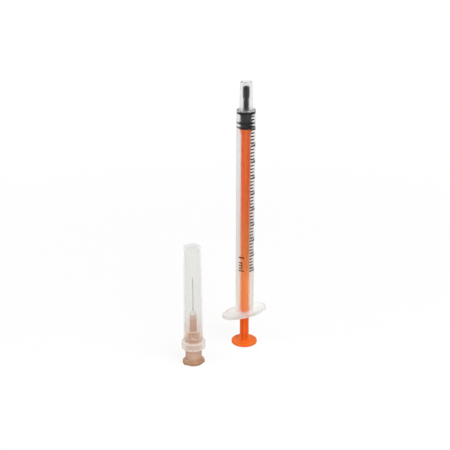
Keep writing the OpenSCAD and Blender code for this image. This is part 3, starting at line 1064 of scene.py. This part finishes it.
def hub_moulding():
    """Hub with lugs, neck, finned boss and stem, and its socket, passage and well.

    Each row is a distance from the axis for every angle, at one height. Rows of a flat shelf climb
    by a hundredth of a millimetre each, so that plates crossing the shelf keep real faces.
    """
    angles = hub_columns()
    turn = np.linspace(0, math.pi/2, 5)
    edge, neck_edge, shelf, pocket_edge, creep = 0.12, 0.15, 0.1, 0.08, 0.01
    rows = []

    def add(reach, z):
        """Adds a row at a height, from a distance for each angle or one for them all."""
        rows.append((reach + 0*angles, z))

    def lugs(tip, half_width, core):
        """Outline of a round core with the two lugs."""
        return winged(angles - lug_turn, 2, tip, half_width, core, blend=0.05)

    def fins(tip, half_width, core):
        """Outline of a round core with the four fins."""
        return winged(angles, 4, tip, half_width, core, blend=0.03)

    def stem(z):
        """Radius of the stem, which tapers evenly from the neck to its end."""
        share = (z - neck_top_z)/(hub_l - neck_top_z)
        return stem_root_r + (stem_end_r - stem_root_r)*share

    for t in turn:
        shrink = edge*(1 - math.sin(t))
        foot = lugs(lug_r - shrink, lug_half_w - shrink, foot_r - shrink)
        add(foot, edge*(1 - math.cos(t)))
    foot_z = np.array([0, foot_h, foot_slope_top_z, neck_top_z])
    foot_to = np.array([foot_r, foot_r, hub_neck_r, hub_neck_r])
    lug_z = np.array([0, lug_h, lug_run_out, neck_top_z])
    lug_to = np.array([lug_r, lug_r, hub_neck_r - 0.1, hub_neck_r - 0.1])
    for z in np.linspace(edge + 0.04, lug_run_out + 0.3, 40):
        near = z + np.array([-0.06, 0, 0.06])
        core = np.interp(near, foot_z, foot_to).mean()
        tip = np.interp(near, lug_z, lug_to).mean()
        add(lugs(tip, lug_half_w, core), z)
    for t in turn:
        add(hub_neck_r - neck_edge*(1 - math.cos(t)), neck_top_z - neck_edge*(1 - math.sin(t)))
    for t in turn:
        add(boss_r + shelf*(1 - math.sin(t)), neck_top_z + creep + shelf*(1 - math.cos(t)))
    add(boss_r, boss_top_z - pocket_edge - 0.1)
    for t in turn:
        core = boss_r - pocket_edge*(1 - math.cos(t))
        add(fins(boss_r, fin_half_t, core), boss_top_z - pocket_edge*(1 - math.sin(t)))
    root = stem(boss_top_z)
    for share in (0.1, 0.5, 0.85):
        core = boss_r - pocket_edge + (root + shelf - boss_r + pocket_edge)*share
        z = boss_top_z + creep*(share + 0.2)
        add(fins(boss_r, fin_half_t, core), z)
    for t in turn:
        z = boss_top_z + 2*creep + shelf*(1 - math.cos(t))
        add(fins(boss_r, fin_half_t, root + shelf*(1 - math.sin(t))), z)
    for z in (boss_top_z + 0.3, fin_top_z - 0.25):
        add(fins(boss_r, fin_half_t, stem(z)), z)
    for t in turn:
        shrink = pocket_edge*(1 - math.cos(t))
        z = fin_top_z - pocket_edge*(1 - math.sin(t))
        add(fins(boss_r - shrink, fin_half_t - shrink, stem(z)), z)
    for share in (0.3, 1.0):
        tip = boss_r - pocket_edge + (stem(fin_top_z) - boss_r + pocket_edge)*share
        z = fin_top_z + creep*(share + 0.2)
        add(fins(tip, fin_half_t - pocket_edge, stem(z)), z)
    above, well_z, hole_z = fin_top_z + 0.1, hub_l - well_l, socket_l + 2
    hole_r = cannula_r + cannula_fit
    inside = rounded([
        (stem(above), above, 0), (stem_end_r, hub_l, 0.15), (well_r, hub_l, 0.08),
        (well_floor_r, well_z, 0.1), (hole_r, well_z, 0.04), (hole_r, hole_z, 0.04),
        (passage_r, hole_z, 0.1), (passage_r, socket_l, 0.12), (socket_end_r, socket_l, 0.15),
        (socket_r, 0, 0.15), (foot_r - edge - 0.1, 0, 0)
    ], hold=0.08)
    reach = np.stack([r for r, _ in rows])
    height = np.array([z for _, z in rows])
    outline = np.stack([reach*np.cos(angles), reach*np.sin(angles)], -1) + needle_xy
    points = np.concatenate([stacked(outline, height), turned(inside, angles, needle_xy)])
    return closed_mesh("hub_moulding", points, True)


def bond_moulding():
    """Resin round the cannula: a plug in the hub's well, and a domed bead above the stem.

    The bead is part of a ball of radius (r^2 + h^2) / 2 h, where r is its own and h its height.
    """
    gap = 0.012
    hole = cannula_r + 0.004
    dome_r = (bead_r**2 + bead_h**2)/(2*bead_h)
    centre_z = hub_l + bead_h - dome_r
    first = math.asin((hub_l + 0.02 - centre_z)/dome_r)
    last = math.acos((hole + 0.06)/dome_r)
    rise = np.linspace(first, last, 24)
    dome = np.stack([dome_r*np.cos(rise), centre_z + dome_r*np.sin(rise)], -1)
    floor_z = hub_l - well_l + gap
    below = rounded([
        (hole, hub_l + bead_h + 0.05, 0), (hole, floor_z, 0.02),
        (well_floor_r - gap, floor_z, 0.05), (well_r - gap, hub_l + 0.01, 0.05),
        (dome[0, 0] - 0.05, hub_l + 0.01, 0)
    ], hold=0.05)
    points = turned(np.vstack([below, dome]), even_angles(96), needle_xy)
    return closed_mesh("bond_moulding", points, True)


def cannula_tube():
    """Steel tube whose end is ground off on a slope: the rim at x is lower by l (x + r) / 2 r."""
    angles = even_angles(40)
    low, tip = cannula_low[2], cannula_high[2]
    profile = rounded([
        (cannula_r, low, 0.02), (cannula_r, tip, 0.008), (cannula_bore_r, tip, 0.008),
        (cannula_bore_r, low, 0.02)
    ], steps=2, hold=0.05, closed=True)
    points = turned(profile, angles)
    drop = bevel_l*(points[..., 0] + cannula_r)/(2*cannula_r)
    ground_l, blend_l = 0.2, 0.1
    near_tip = np.clip((points[..., 2] - tip + ground_l)/blend_l, 0, 1)
    points[..., 2] -= drop*near_tip
    points[..., :2] += needle_xy
    return closed_mesh("cannula_tube", points, True)


def sheath_moulding():
    """Clear sheath with a thick rim at its mouth and a rounded closed end.

    Its profile is turned round the needle's axis, from the inside of the closed end to its top.
    """
    seat, rim_top, top = sheath_low[2], sheath_low[2] + rim_h, sheath_high[2]
    profile = rounded([
        (0, top - sheath_end_t, 0), (sheath_inner_end_r, top - sheath_end_t, 1.3),
        (sheath_neck_r, rim_top, 2.0), (sheath_neck_r, seat, 0.15), (rim_r, seat, 0.3),
        (rim_r, rim_top, 0.25), (sheath_root_r, rim_top, 0.2), (sheath_end_r, top, sheath_round),
        (0, top, 0)
    ])
    return closed_mesh("sheath_moulding", turned(profile, even_angles(192), needle_xy))


# The object

every_step = np.arange(scale_steps + 1)
is_long = every_step % long_every == 0
black_ink = ink_finish()
short_ink = ink_lines("short_ink_lines", every_step[~is_long], short_sweep)
long_ink = ink_lines("long_ink_lines", every_step[is_long], long_sweep)
figures = [
    (str(units_per_step*step), figure_angle, line_z(step)) for step in every_step[is_long].tolist()
]
capacity = [("1 ml", capacity_angle, capacity_z)]
scale_figures = printed_words("scale_figures", figures, figure_h, bolder=0.08)
capacity_figures = printed_words(
    "capacity_figures", capacity, capacity_h, bolder=0.02, turned_down=True, stretch=1.2
)

place(plunger_moulding(), orange_finish(), "plunger", "plunger", "plunger_rod")
place(stopper_moulding(), rubber_finish(), "plunger", "stopper", "stopper")
place(barrel_moulding(), barrel_finish(), "barrel", "clear_barrel", "barrel")
place(short_ink, black_ink, "barrel", "ink", "short_lines")
place(long_ink, black_ink, "barrel", "ink", "long_lines")
place(scale_figures, black_ink, "barrel", "ink")
place(capacity_figures, black_ink, "barrel", "ink")
place(hub_moulding(), hub_finish(), "needle", "hub", "needle_hub")
place(bond_moulding(), resin_finish(), "needle", "resin", "needle_bond")
place(cannula_tube(), steel_finish(), "needle", "steel", "needle_cannula")
place(sheath_moulding(), sheath_finish(), "sheath", "clear_sheath", "needle_sheath")


# Camera, floor and light


def light_left(tree, path, start, end):
    """Share of light that a kind of ray gets: less for reflections, a little more through plastic.

    It is (1 - g (1 - t) m) (1 + 0.15 t), with g 1 for reflected rays and rays through clear
    plastic, t 1 for the latter, and m a smooth step of the ray's or the floor's Y that falls from
    0.9 at the start to 0 at the end.
    """
    front_loss, through_gain = 0.9, 0.15
    through = path["Is Transmission Ray"]
    in_front = moved(tree, own_parts(tree)["Y"], start, end, front_loss, 0.0)
    not_through = joined(tree, "SUBTRACT", 1.0, through)
    reflected = times(tree, path["Is Glossy Ray"], not_through)
    lost = times(tree, reflected, in_front)
    left = joined(tree, "SUBTRACT", 1.0, lost, clamp=True)
    return times(tree, left, joined(tree, "MULTIPLY_ADD", through, through_gain, 1.0))


def seen_directly(tree, start, end):
    """1 for rays of the camera, of reflections and through clear plastic, and the light left.

    The start and the end are the Y between which the light left has its smooth step.
    """
    path = add_node(tree, "ShaderNodeLightPath").outputs
    straight = joined(tree, "ADD", path["Is Camera Ray"], path["Is Glossy Ray"])
    seen = joined(tree, "ADD", straight, path["Is Transmission Ray"], clamp=True)
    return seen, light_left(tree, path, start, end)


def add_camera():
    """The photograph's camera: level across, looking down by 20 degrees."""
    focal_px, frame_px = 860, 450
    pitch = math.radians(20)
    left, back, up = 7.15, 287, 150.8
    data = bpy.data.cameras.new("view")
    data.sensor_width = 36
    data.lens = data.sensor_width*focal_px/frame_px
    data.clip_start = 0.01
    data.clip_end = 50
    camera = add_object("view", data)
    camera.location = (-left*MM, -back*MM, up*MM)
    camera.rotation_euler = (math.pi/2 - pitch, 0, 0)
    bpy.context.scene.camera = camera


def add_world(back_fill, front_fill):
    """A white surround, at full strength where it is seen. As light it is weaker from behind.

    As light, its strength runs from the front fill to the back fill in a smooth step of the Y of
    the direction, from -0.8 to 0.4.
    """
    world = bpy.data.worlds.new("white_room")
    bpy.context.scene.world = world
    world.use_nodes = True
    tree = world.node_tree
    background = tree.nodes["Background"]
    seen, share = seen_directly(tree, -0.3, 0.5)
    fill = moved(tree, own_parts(tree)["Y"], -0.8, 0.4, front_fill, back_fill)
    strength = moved(tree, seen, 0.0, 1.0, fill, 1.0, "LINEAR")
    background.inputs["Color"].default_value = (1, 1, 1, 1)
    feed(tree, background.inputs["Strength"], times(tree, strength, share))


def add_floor(shade_share):
    """A pale floor that is white where it is seen, less the object's shadow close to it.

    Seen directly, it reflects a share s of the light on it and gives off 1.06 - s, times the
    ray's share of light. From 80 to 300 mm away from the origin it turns plain white. Unseen, it
    reflects 0.6.
    """
    half = 8.0
    full_white, unseen_share = 1.06, 0.6
    shade_r, plain_r = 80*MM, 300*MM
    mesh = bpy.data.meshes.new("floor")
    corners = [(-half, -half, 0), (half, -half, 0), (half, half, 0), (-half, half, 0)]
    mesh.from_pydata(corners, [], [[0, 1, 2, 3]])
    floor = add_object("floor", mesh)
    material = bpy.data.materials.new("white_floor")
    material.use_nodes = True
    tree = material.node_tree
    tree.nodes.remove(tree.nodes["Principled BSDF"])
    seen, share = seen_directly(tree, -0.03, 0.06)
    albedo = moved(tree, seen, 0.0, 1.0, unseen_share, shade_share, "LINEAR")
    reflect = add_node(tree, "ShaderNodeBsdfDiffuse")
    feed(tree, reflect.inputs["Color"], times(tree, albedo, share))
    glow = add_node(tree, "ShaderNodeEmission")
    glow_level = times(tree, seen, full_white - shade_share)
    feed(tree, glow.inputs["Strength"], times(tree, glow_level, share))
    shaded = add_node(tree, "ShaderNodeAddShader")
    feed(tree, shaded.inputs[0], reflect.outputs["BSDF"])
    feed(tree, shaded.inputs[1], glow.outputs["Emission"])
    white = add_node(tree, "ShaderNodeEmission")
    feed(tree, white.inputs["Strength"], share)
    distance = add_node(tree, "ShaderNodeVectorMath", operation="LENGTH")
    feed(tree, distance.inputs[0], own_place(tree))
    far = moved(tree, distance.outputs["Value"], shade_r, plain_r)
    surface = add_node(tree, "ShaderNodeMixShader")
    feed(tree, surface.inputs["Fac"], times(tree, far, seen))
    feed(tree, surface.inputs[1], shaded.outputs["Shader"])
    feed(tree, surface.inputs[2], white.outputs["Emission"])
    feed(tree, tree.nodes["Material Output"].inputs["Surface"], surface.outputs["Shader"])
    mesh.materials.append(material)


def add_lamp(name, azimuth, elevation, distance, size, watts):
    """A square soft lamp at an azimuth from -Y towards +X and an elevation, facing the object."""
    data = bpy.data.lights.new(name, "AREA")
    data.size = size
    data.energy = watts
    lamp = add_object(name, data)
    a, e = math.radians(azimuth), math.radians(elevation)
    lamp.location = (
        distance*math.cos(e)*math.sin(a), -distance*math.cos(e)*math.cos(a), distance*math.sin(e)
    )
    lamp.rotation_euler = (math.pi/2 - e, 0, a)


add_camera()
add_world(back_fill=0.3, front_fill=0.85)
add_floor(shade_share=0.25)
add_lamp("key_light", azimuth=40, elevation=50, distance=0.7, size=0.4, watts=1.3)
add_lamp("fill_light", azimuth=-55, elevation=35, distance=0.7, size=0.5, watts=0.6)
bpy.context.scene.view_settings.view_transform = "Standard"
